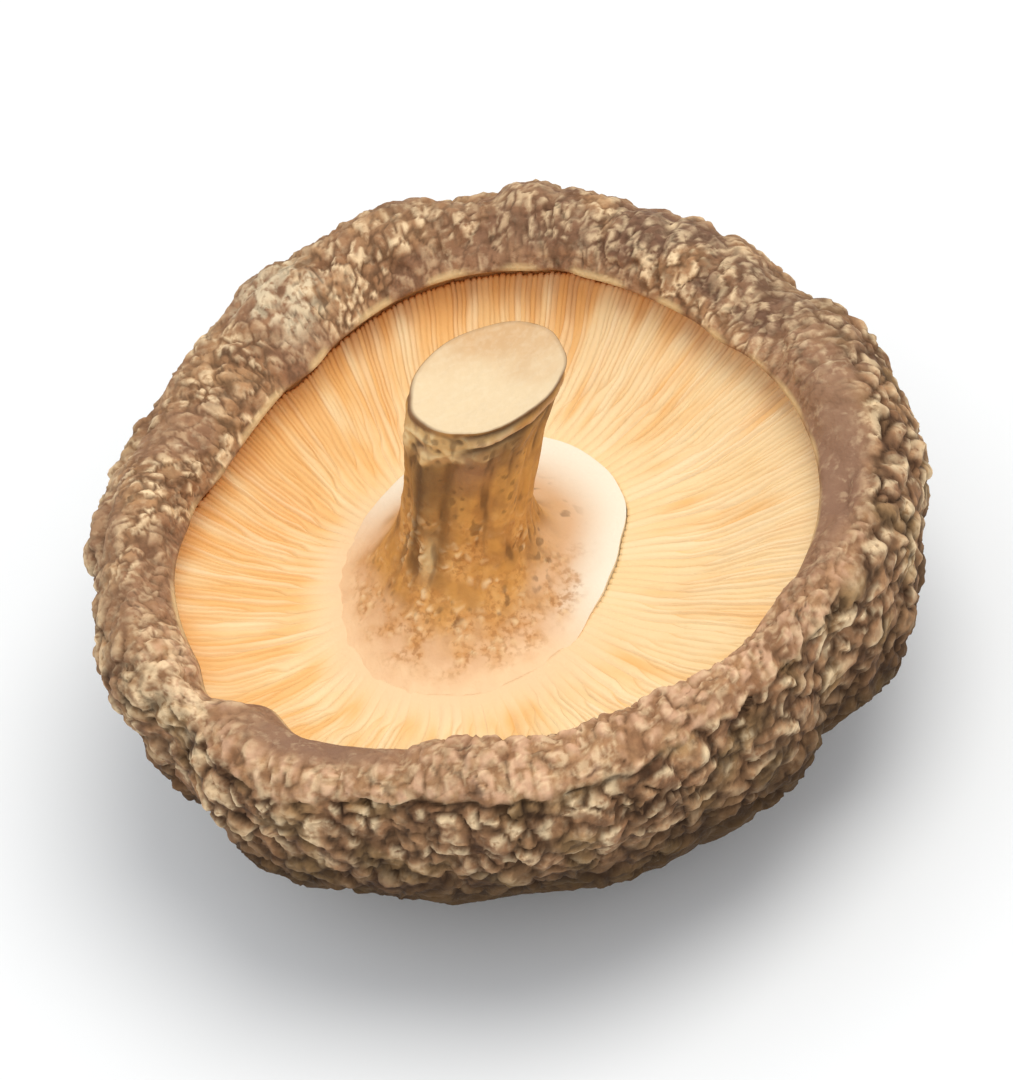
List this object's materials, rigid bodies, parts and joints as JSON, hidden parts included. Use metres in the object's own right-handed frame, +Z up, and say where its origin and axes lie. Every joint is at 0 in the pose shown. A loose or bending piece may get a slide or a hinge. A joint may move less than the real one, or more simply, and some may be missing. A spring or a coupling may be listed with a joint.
{
  "type": "shiitake mushroom",
  "caption": "Dried shiitake mushroom lying on its cap: wrinkled brown cap with an in-rolled rim, radiating gills facing up, and a short leaning stem with a cut end.",
  "frame": {"origin": "centre of the small flat spot under the cap that the mushroom rests on", "axes": "+Z up out of the gills, along the cap's axis; +X towards the side that the stem leans to; +Y away from the picture's viewer"},
  "size_m": [0.0566, 0.0569, 0.0334],
  "materials": {
    "mushroom_flesh": "matt, dry and wrinkled: mauve-brown cap skin, golden gills, pale cream cut stem"
  },
  "bodies": {
    "root": {"shiitake_mushroom": "mushroom_flesh"}
  },
  "joints": []
}
